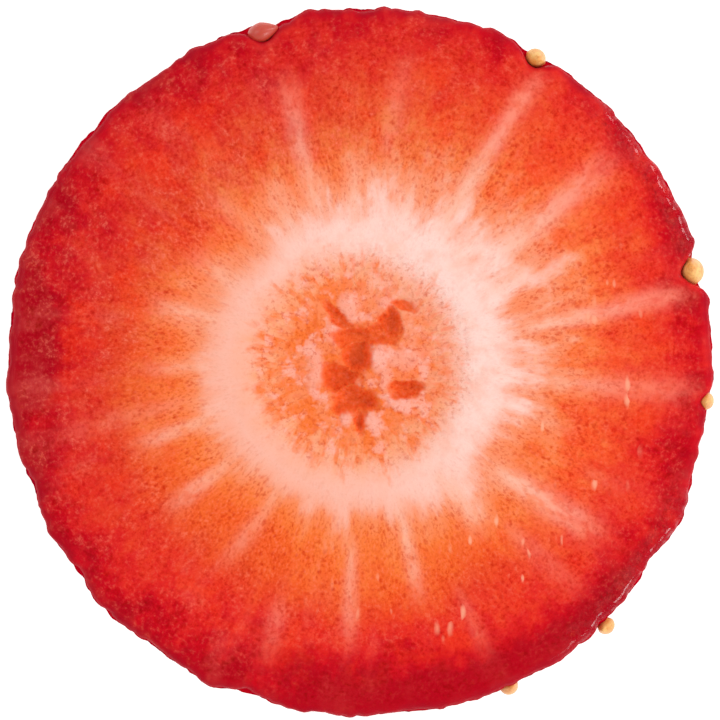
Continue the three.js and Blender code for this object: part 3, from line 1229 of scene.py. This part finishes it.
@dataclass(frozen=True)
class SkinFinish:
    """The berry's skin: deep glossy red, a little paler in the dimples and darker towards the cut, with
    painted shade of dark purple where the skin is seen edge-on.
    """

    red: Paint = paint(190, 10, 18)
    deep: Paint = paint(160, 2, 12)
    dimple: Paint = paint(206, 52, 28)
    rim: Paint = paint(176, 4, 24)
    # Painted shade: the dark purple laid along the outline, where the skin turns edge-on to the view.
    edge: Paint = paint(100, 0, 34)
    roughness: float = 0.28
    coat: float = 0.5
    coat_roughness: float = 0.08
    lump_depth: float = 0.18

    def build(self) -> bpy.types.Material:
        """The material."""
        material, wire, shader = new_material("berry_skin")
        spot = wire.place_in_mm()
        grain = WetGrain.place(wire, spot, 2.2, 0.5)
        colour = wire.mix(wire.span(grain.outputs["Cloud"], 0.3, 0.7), self.red, self.deep)
        colour = wire.mix(wire.span(wire.stored("dimple"), 0.35, 1.0, 0.0, 0.7), colour, self.dimple)
        colour = wire.mix(wire.math("MULTIPLY", grain.outputs["Pores"], 0.25), colour, self.deep)
        colour = wire.mix(wire.stored("rim"), colour, self.rim)
        aside = wire.add("ShaderNodeLayerWeight", {"Blend": 0.5}).outputs["Facing"]
        # Painted shade: darkens the skin towards dark purple where it is seen edge-on.
        colour = wire.mix(wire.span(aside, 0.88, 1.0, 0.0, 0.85), colour, self.edge)
        wire.feed(shader.inputs["Base Color"], colour)
        lumps = {"Strength": 0.6, "Distance": self.lump_depth * MM, "Height": wire.noise(spot, 1.6, 3.0)}
        wire.feed(shader.inputs["Normal"], wire.add("ShaderNodeBump", lumps).outputs[0])
        gloss = wire.span(grain.outputs["Cloud"], 0.3, 0.7, self.roughness - 0.05, self.roughness + 0.1)
        wire.feed(shader.inputs["Roughness"], gloss)
        wire.feed(shader.inputs["Coat Weight"], wire.span(aside, 0.75, 0.35, 0.0, self.coat))
        shader.inputs["IOR"].default_value = FRUIT_IOR
        shader.inputs["Specular IOR Level"].default_value = 0.0
        shader.inputs["Subsurface Weight"].default_value = 0.1
        shader.inputs["Subsurface Radius"].default_value = (1.0, 0.2, 0.1)
        shader.inputs["Subsurface Scale"].default_value = 0.3 * MM
        shader.inputs["Coat Roughness"].default_value = self.coat_roughness
        return material


@dataclass(frozen=True)
class AcheneFinish:
    """The dry coat of an achene: straw gold, with a darker foot and a red blush on some."""

    gold: Paint = paint(240, 160, 74)
    straw: Paint = paint(253, 200, 118)
    foot: Paint = paint(186, 100, 48)
    blush: Paint = paint(198, 48, 44)
    relief_depth: float = 0.03
    coat: float = 0.2
    coat_roughness: float = 0.2

    def build(self) -> bpy.types.Material:
        """The material."""
        material, wire, shader = new_material("achene_coat")
        grain = WetGrain.place(wire, wire.place_in_mm(), 5.5, 0.3)
        cloud = grain.outputs["Cloud"]
        colour = wire.mix(wire.span(cloud, 0.35, 0.65), self.gold, self.straw)
        colour = wire.mix(wire.math("MULTIPLY", wire.stored("foot"), 0.5), colour, self.foot)
        colour = wire.mix(wire.stored("blush"), colour, self.blush)
        colour = wire.mix(wire.math("MULTIPLY", grain.outputs["Smudges"], 0.45), colour, self.foot)
        wire.feed(shader.inputs["Base Color"], colour)
        relief = {"Strength": 0.3, "Distance": self.relief_depth * MM, "Height": cloud}
        wire.feed(shader.inputs["Normal"], wire.add("ShaderNodeBump", relief).outputs[0])
        wire.feed(shader.inputs["Roughness"], wire.span(cloud, 0.3, 0.7, 0.35, 0.5))
        shader.inputs["Coat Weight"].default_value = self.coat
        shader.inputs["Coat Roughness"].default_value = self.coat_roughness
        return material


def bake_modifiers(piece: bpy.types.Object) -> bpy.types.Object:
    """Turns what a piece's modifiers make into its plain mesh.

    Args:
        piece: An object at the origin, with its modifiers live.

    Returns:
        The same object, with no modifier left.
    """
    graph = bpy.context.evaluated_depsgraph_get()
    mesh = bpy.data.meshes.new_from_object(piece.evaluated_get(graph))
    piece.modifiers.clear()
    piece.data = mesh
    mesh.name = piece.name
    return piece


def new_tree(name: str, sizes: dict[str, float]) -> tuple[bpy.types.NodeTree, dict[str, str]]:
    """A geometry tree with a geometry socket at each end and one named input for each size.

    Args:
        name: The tree's name.
        sizes: The inputs' names and default values.

    Returns:
        The tree, and each input's identifier by name.
    """
    tree = bpy.data.node_groups.new(name, "GeometryNodeTree")
    tree.interface.new_socket("Geometry", in_out="INPUT", socket_type="NodeSocketGeometry")
    named = {}
    for label, value in sizes.items():
        socket = tree.interface.new_socket(label, in_out="INPUT", socket_type="NodeSocketFloat")
        socket.default_value = value
        named[label] = socket.identifier
    tree.interface.new_socket("Geometry", in_out="OUTPUT", socket_type="NodeSocketGeometry")
    return tree, named


def run_tree(
    piece: bpy.types.Object, tree: bpy.types.NodeTree, named: dict[str, str], sizes: dict[str, float]
) -> bpy.types.Object:
    """Runs a geometry tree on a piece and keeps its result as the piece's mesh.

    Args:
        piece: The object to run it on.
        tree: The geometry tree.
        named: The identifier of each of its inputs, by name.
        sizes: The inputs' values, by name.

    Returns:
        The same object.
    """
    modifier = piece.modifiers.new(tree.name, "NODES")
    modifier.node_group = tree
    for label, value in sizes.items():
        modifier[named[label]] = value
    return bake_modifiers(piece)


def link_piece(name: str, mesh: bpy.types.Mesh) -> bpy.types.Object:
    """Puts a mesh into the scene.

    Args:
        name: The object's name.
        mesh: Its mesh.

    Returns:
        A new object at the origin.
    """
    piece = bpy.data.objects.new(name, mesh)
    bpy.context.scene.collection.objects.link(piece)
    return piece


def write_values(mesh: bpy.types.Mesh, name: str, values: np.ndarray) -> None:
    """Stores one number for each vertex under a name."""
    layer = mesh.attributes.new(name, "FLOAT", "POINT")
    layer.data.foreach_set("value", np.ascontiguousarray(values, dtype=np.float32))


@dataclass
class Flesh:
    """The flesh and skin of the slice as one closed mesh of rings.

    Lengths are in mm. skin_start is counted from the widest radius, and the other starts are heights
    above the lower cut.
    """

    form: SliceForm
    hollow: Hollow
    sides: int = 640
    pith_rings: int = 58
    flesh_rings: int = 34
    edge_rings: int = 7
    wall_rings: int = 20
    lower_rings: int = 24
    pith_radius: float = 3.9
    relief_height: float = 0.05
    relief_size: float = 1.3
    cusp_height: float = 0.2
    cusp_size: float = 0.95
    cusp_start: Band = (-2.0, 5.0)
    skin_start: Band = (-3.0, -0.8)
    dip_start: Band = (3.6, 6.8)
    rim_start: Band = (4.6, 6.5)
    rim_width: float = 0.4
    lobe_rise: float = 0.1
    full_dimple: float = 0.45

    def profile(self) -> tuple[np.ndarray, np.ndarray, np.ndarray]:
        """The rings from the middle of the lower face, out, up and back in.

        Returns:
            Each ring's radius and height, and whether it lies on the lower face, the skin or the
            upper face, as 0, 1 or 2.
        """
        form = self.form
        top = form.thickness
        low_edge = form.skin_radius(form.lower_edge_round) - form.lower_edge_round
        high_edge = form.skin_radius(top - form.upper_edge_round) - form.upper_edge_round
        turns = np.linspace(0, math.pi / 2, self.edge_rings + 1)
        lower = np.concatenate([
            np.linspace(0.1, self.pith_radius, self.lower_rings // 2, endpoint=False),
            np.linspace(self.pith_radius, low_edge, self.lower_rings // 2, endpoint=False),
        ])
        wall = np.linspace(form.lower_edge_round, top - form.upper_edge_round, self.wall_rings + 1)
        upper = np.concatenate([
            np.linspace(high_edge, self.pith_radius, self.flesh_rings, endpoint=False)[1:],
            np.linspace(self.pith_radius, 0.04, self.pith_rings),
        ])
        radii = np.concatenate([
            lower,
            low_edge + form.lower_edge_round * np.sin(turns[:-1]),
            form.skin_radius(wall),
            high_edge + form.upper_edge_round * np.cos(turns[1:]),
            upper,
        ])
        heights = np.concatenate([
            np.zeros_like(lower),
            form.lower_edge_round * (1 - np.cos(turns[:-1])),
            wall,
            top - form.upper_edge_round * (1 - np.sin(turns[1:])),
            np.full_like(upper, top),
        ])
        kinds = np.ones(len(radii), dtype=int)
        kinds[: len(lower)] = 0
        kinds[len(radii) - len(upper) - self.edge_rings + 1 :] = 2
        return radii, heights, kinds

    def displace(self, radius: np.ndarray, angle: np.ndarray, height: np.ndarray) -> dict[str, np.ndarray]:
        """Moves each vertex to its place and works out what its finish needs.

        Args:
            radius: Distances from the axis on the plain rings.
            angle: Angles round the axis.
            height: Heights on the plain rings.

        Returns:
            The coordinates x, y and z, and the values ray, shade, pale, hollow, rim and dimple, by name.
        """
        form = self.form
        placed = form.place_achenes()
        near_skin = smoothstep(radius, *(form.widest_radius + inside for inside in self.skin_start))
        sink = form.dimple_sink(angle, height, placed)
        ragged = self.cusps(angle, height) * near_skin
        dips = form.edge_dips(angle) * smoothstep(height, *self.dip_start) * near_skin
        moved = radius * (1 + form.swell(angle) / form.widest_radius) - sink * near_skin - dips + ragged
        x, y, z = moved * np.cos(angle), moved * np.sin(angle), height.copy()
        on_upper = height >= form.thickness
        on_lower = height <= 0
        z[on_upper] += form.cut_relief(radius[on_upper])
        deep_upper, deep_lower = np.zeros_like(x), np.zeros_like(x)
        pith = radius < form.core_rim_radius
        top, bottom = on_upper & pith, on_lower & pith
        deep_upper[top] = self.hollow.depth(x[top], y[top], Cut.UPPER)
        deep_lower[bottom] = self.hollow.depth(x[bottom], y[bottom], Cut.LOWER)
        pale, hollow = np.zeros_like(x), np.zeros_like(x)
        pale[top] = self.hollow.paleness(x[top], y[top])
        hollow[top] = self.hollow.stain(x[top], y[top], Cut.UPPER)
        hollow[bottom] = self.hollow.stain(x[bottom], y[bottom], Cut.LOWER)
        z += deep_lower - deep_upper + self.lobe_rise * pale
        strands = np.zeros_like(x)
        for ray in RAYS:
            strands = 1 - (1 - strands) * (1 - ray.mask(radius, angle))
        strands[~(on_upper | on_lower)] = 0
        corner = form.skin_radius(form.thickness - form.upper_edge_round) - form.upper_edge_round
        rim = smoothstep(radius, corner - self.rim_width, corner + form.upper_edge_round)
        rim *= smoothstep(height, *self.rim_start)
        shade = sum(patch.shade(radius, angle) for patch in PATCHES)
        dimple = np.clip(sink / self.full_dimple, 0, 1)
        return {"x": x, "y": y, "z": z, "ray": strands, "shade": shade, "pale": pale, "hollow": hollow,
                "rim": rim, "dimple": dimple}

    def cusps(self, angle: np.ndarray, height: np.ndarray) -> np.ndarray:
        """Small swellings of the skin with sharp creases between them, strongest near the upper cut.

        Args:
            angle: Angles round the axis.
            height: Heights above the lower cut.

        Returns:
            How far the skin stands out, in mm.
        """
        reach = self.form.widest_radius
        around = np.column_stack([reach * np.cos(angle), reach * np.sin(angle), 0.5 * height])
        swollen = np.abs(rough_field(around, self.cusp_size, 21, 2)) - 0.3
        return self.cusp_height * swollen * smoothstep(height, *self.cusp_start)

    def faces(self, rings: int) -> list[tuple[int, ...]]:
        """The faces between rings, with a fan at each end.

        Args:
            rings: How many rings there are. The two middles come after all their vertices.

        Returns:
            Each face's vertices, in order.
        """
        made: list[tuple[int, ...]] = []
        steps = [(i, (i + 1) % self.sides) for i in range(self.sides)]
        for ring in range(rings - 1):
            a, b = ring * self.sides, (ring + 1) * self.sides
            made += [(a + i, a + j, b + j, b + i) for i, j in steps]
        first, last = rings * self.sides, rings * self.sides + 1
        end = (rings - 1) * self.sides
        made += [(first, j, i) for i, j in steps]
        made += [(last, end + i, end + j) for i, j in steps]
        return made

    def relief_tree(self) -> tuple[bpy.types.NodeTree, dict[str, str]]:
        """Makes the tree that lifts the upper cut face into fine wet relief, but not its rim or its skin."""
        sizes = {"Height": self.relief_height, "Size": self.relief_size, "Top": self.form.thickness}
        tree, named = new_tree("cut_relief", sizes)
        wire = Wiring(tree)
        given = wire.add("NodeGroupInput")
        place = wire.in_mm(wire.add("GeometryNodeInputPosition").outputs[0])
        split = wire.add("ShaderNodeSeparateXYZ", {0: place})
        scale = wire.math("DIVIDE", 1.0, given.outputs["Size"])
        bumps = wire.math("SUBTRACT", wire.noise(place, scale, 3.0, 0.6), 0.5)
        on_top = wire.span(split.outputs[2], wire.math("SUBTRACT", given.outputs["Top"], 0.9),
                           wire.math("SUBTRACT", given.outputs["Top"], 0.1))
        lift = wire.math("MULTIPLY", wire.math("MULTIPLY", bumps, on_top), given.outputs["Height"])
        offset = wire.join(0.0, 0.0, wire.math("MULTIPLY", lift, 2.0 * MM))
        moved = wire.add("GeometryNodeSetPosition", {"Geometry": given.outputs["Geometry"], "Offset": offset})
        wire.add("NodeGroupOutput", {"Geometry": moved.outputs[0]})
        return tree, named

    def build(self) -> bpy.types.Object:
        """The piece, dressed."""
        radii, heights, kinds = self.profile()
        angles = np.linspace(0, 2 * math.pi, self.sides, endpoint=False)
        radius = np.append(np.repeat(radii, self.sides), [0.0, 0.0])
        height = np.append(np.repeat(heights, self.sides), [0.0, self.form.thickness])
        angle = np.append(np.tile(angles, len(radii)), [0.0, 0.0])
        values = self.displace(radius, angle, height)
        mesh = bpy.data.meshes.new("slice_flesh")
        points = np.column_stack([values.pop(axis) for axis in "xyz"]) * MM
        mesh.from_pydata(points.tolist(), [], self.faces(len(radii)))
        for name, numbers in values.items():
            write_values(mesh, name, numbers)
        mesh.materials.append(CutFinish().build())
        mesh.materials.append(SkinFinish().build())
        skin = np.append(np.repeat(kinds[:-1] == 1, self.sides), np.zeros(2 * self.sides, dtype=bool))
        mesh.polygons.foreach_set("material_index", skin.astype(np.int32))
        mesh.shade_smooth()
        mesh.update()
        piece = link_piece("slice_flesh", mesh)
        tree, named = self.relief_tree()
        run_tree(piece, tree, named, {"Height": self.relief_height, "Size": self.relief_size})
        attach(piece, BODY)
        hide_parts(CAD_NODE)
        log.info("slice_flesh: %d faces", len(piece.data.polygons))
        return piece


@dataclass
class Achenes:
    """The achenes, each an egg with a sharp tip that stands in its dimple."""

    form: SliceForm
    segments: int = 20
    rings: int = 14

    def points(self) -> bpy.types.Object:
        """One point for each achene, with its turn, size and blush."""
        placed = self.form.place_achenes()
        spots = []
        for achene in placed:
            out = achene.radius + self.form.swell(achene.angle)
            x, y = out * math.cos(achene.angle), out * math.sin(achene.angle)
            spots.append((x * MM, y * MM, achene.height * MM))
        mesh = bpy.data.meshes.new("achenes")
        mesh.from_pydata(spots, [], [])
        turn = mesh.attributes.new("turn", "FLOAT_VECTOR", "POINT")
        turn.data.foreach_set("vector", np.array([(a.tilt, 0, a.angle) for a in placed], np.float32).ravel())
        write_values(mesh, "size", np.array([a.size for a in placed]))
        write_values(mesh, "blush", np.array([a.blush for a in placed]))
        return link_piece("achenes", mesh)

    def tree(self, coat: bpy.types.Material) -> tuple[bpy.types.NodeTree, dict[str, str]]:
        """Makes the tree that shapes one achene and sets it on each point.

        Args:
            coat: The achene's material.

        Returns:
            The tree, and each input's identifier by name.
        """
        rule = self.form.achenes
        sizes = {"Length": rule.length, "Width": rule.width, "Thickness": rule.thickness, "Taper": rule.taper}
        tree, named = new_tree("achene_setting", sizes)
        wire = Wiring(tree)
        given = wire.add("NodeGroupInput")
        counts = {"Segments": self.segments, "Rings": self.rings, "Radius": 0.5}
        egg = wire.add("GeometryNodeMeshUVSphere", counts)
        place = wire.add("ShaderNodeSeparateXYZ", {0: wire.add("GeometryNodeInputPosition").outputs[0]})
        x, y, z = place.outputs
        up = wire.math("MULTIPLY", wire.math("MAXIMUM", z, 0.0), 2.0)
        width = wire.math("SUBTRACT", 1.0, wire.math("MULTIPLY", up, given.outputs["Taper"]))
        beak = wire.math("MULTIPLY", wire.math("POWER", up, 6.0), 0.06)
        keel = wire.math("MULTIPLY", wire.span(wire.math("ABSOLUTE", x), 0.12, 0.0), 0.04)
        wider = wire.math("ADD", width, keel)
        shaped = wire.join(wire.product(x, width), wire.product(y, wider), wire.math("ADD", z, beak))
        scale = wire.join(given.outputs["Thickness"], given.outputs["Width"], given.outputs["Length"])
        sized = wire.vector("MULTIPLY", wire.vector("MULTIPLY", shaped, scale), (MM, MM, MM))
        body = wire.add("GeometryNodeSetPosition", {"Geometry": egg.outputs[0], "Position": sized})
        foot = wire.add(
            "GeometryNodeStoreNamedAttribute",
            {"Geometry": body.outputs[0], "Name": "foot", "Value": wire.span(z, -0.1, -0.5)},
            data_type="FLOAT",
        )
        smooth = wire.add("GeometryNodeSetShadeSmooth", {0: foot.outputs[0]})
        turn = wire.add("GeometryNodeInputNamedAttribute", {"Name": "turn"}, data_type="FLOAT_VECTOR")
        size = wire.add("GeometryNodeInputNamedAttribute", {"Name": "size"}, data_type="FLOAT")
        facing = wire.add("FunctionNodeEulerToRotation", {0: turn.outputs[0]})
        even = wire.join(size.outputs[0], size.outputs[0], size.outputs[0])
        setting = {
            "Points": given.outputs["Geometry"],
            "Instance": smooth.outputs[0],
            "Rotation": facing.outputs[0],
            "Scale": even,
        }
        copies = wire.add("GeometryNodeInstanceOnPoints", setting)
        real = wire.add("GeometryNodeRealizeInstances", {0: copies.outputs[0]})
        dressed = wire.add("GeometryNodeSetMaterial", {"Geometry": real.outputs[0], "Material": coat})
        wire.add("NodeGroupOutput", {"Geometry": dressed.outputs[0]})
        return tree, named

    def build(self) -> bpy.types.Object:
        """The piece, dressed."""
        rule = self.form.achenes
        tree, named = self.tree(AcheneFinish().build())
        sizes = {"Length": rule.length, "Width": rule.width, "Thickness": rule.thickness, "Taper": rule.taper}
        piece = run_tree(self.points(), tree, named, sizes)
        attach(piece, BODY)
        log.info("achenes: %d faces", len(piece.data.polygons))
        return piece


@dataclass(frozen=True)
class SoftBox:
    """A soft studio light that looks at the slice: directions in degrees, lengths in metres, watts."""

    name: str
    azimuth_deg: float
    elevation_deg: float
    power: float
    size: float = 0.3
    distance: float = 0.5


@dataclass
class Studio:
    """The pale floor, the lights and the camera. Lengths are in metres but for the lens and sensor."""

    boxes: tuple[SoftBox, ...] = (
        SoftBox("key_light", 28, 42, 0.75, 0.22),
        SoftBox("low_right_light", -42, 38, 0.55, 0.18),
        SoftBox("left_fill", 165, 50, 0.5, 0.35),
    )
    aim_height: float = 0.004
    view_width: float = 0.03661
    view_shift_y: float = 0.000076
    view_plane: float = 0.0062
    lens_mm: float = 300.0
    sensor_mm: float = 36.0
    floor_radius: float = 1.2
    floor_gap: float = 0.00002
    table: Paint = paint(214, 214, 214)
    table_glow: float = 0.72
    sky_band: Band = (0.45, 0.95)
    sky_low: float = 0.95
    sky_high: float = 0.5
    sky_strength: float = 0.8

    def floor(self) -> None:
        """A white table that the slice lies on."""
        mesh = bpy.data.meshes.new("floor")
        reach, corners = self.floor_radius, 64
        turns = [2 * math.pi * i / corners for i in range(corners)]
        points = [(reach * math.cos(turn), reach * math.sin(turn), -self.floor_gap) for turn in turns]
        mesh.from_pydata(points, [], [range(corners)])
        material, _, shader = new_material("white_table")
        shader.inputs["Base Color"].default_value = self.table
        shader.inputs["Roughness"].default_value = 0.9
        shader.inputs["Specular IOR Level"].default_value = 0.1
        shader.inputs["Emission Color"].default_value = (1.0, 1.0, 1.0, 1.0)
        shader.inputs["Emission Strength"].default_value = self.table_glow
        mesh.materials.append(material)
        link_piece("floor", mesh)

    def sky(self) -> None:
        """A white room that is dimmer straight above, so that flat wet faces don't look veiled."""
        world = bpy.data.worlds.new("white_room")
        world.use_nodes = True
        wire = Wiring(world.node_tree)
        direction = wire.add("ShaderNodeTexCoord").outputs["Generated"]
        up = wire.add("ShaderNodeSeparateXYZ", {0: direction}).outputs[2]
        tone = wire.span(up, *self.sky_band, self.sky_low, self.sky_high)
        shade = world.node_tree.nodes["Background"]
        wire.feed(shade.inputs["Color"], wire.join(tone, tone, tone))
        shade.inputs["Strength"].default_value = self.sky_strength
        bpy.context.scene.world = world

    def lights(self) -> None:
        """The soft boxes round the slice."""
        for box in self.boxes:
            light = bpy.data.lights.new(box.name, "AREA")
            light.shape = "DISK"
            light.size = box.size
            light.energy = box.power
            lamp = bpy.data.objects.new(box.name, light)
            bpy.context.scene.collection.objects.link(lamp)
            azimuth, elevation = math.radians(box.azimuth_deg), math.radians(box.elevation_deg)
            away = Vector((math.cos(azimuth) * math.cos(elevation), math.sin(azimuth) * math.cos(elevation),
                           math.sin(elevation)))
            lamp.location = away * box.distance + Vector((0, 0, self.aim_height))
            lamp.rotation_euler = (-away).to_track_quat("-Z", "Y").to_euler()

    def camera(self) -> None:
        """A long lens straight above the slice, with the picture's top towards +Y."""
        data = bpy.data.cameras.new("camera")
        data.lens = self.lens_mm
        data.sensor_width = self.sensor_mm
        data.clip_start = 0.01
        data.clip_end = 10.0
        camera = bpy.data.objects.new("camera", data)
        bpy.context.scene.collection.objects.link(camera)
        away = self.view_width * self.lens_mm / self.sensor_mm
        camera.location = (0.0, self.view_shift_y, self.view_plane + away)
        bpy.context.scene.camera = camera

    def build(self) -> None:
        """Sets up all of it."""
        self.camera()
        self.floor()
        self.sky()
        self.lights()
        bpy.context.scene.view_settings.view_transform = "Standard"
        log.info("studio: camera, floor and %d lights", len(self.boxes))


def main() -> None:
    """Builds the slice piece by piece, and the studio round it."""
    logging.basicConfig(level=logging.INFO, format="%(name)s %(message)s")
    Studio().build()
    form = SliceForm()
    Flesh(form, Hollow()).build()
    Achenes(form).build()


if __name__ == "__main__":
    main()
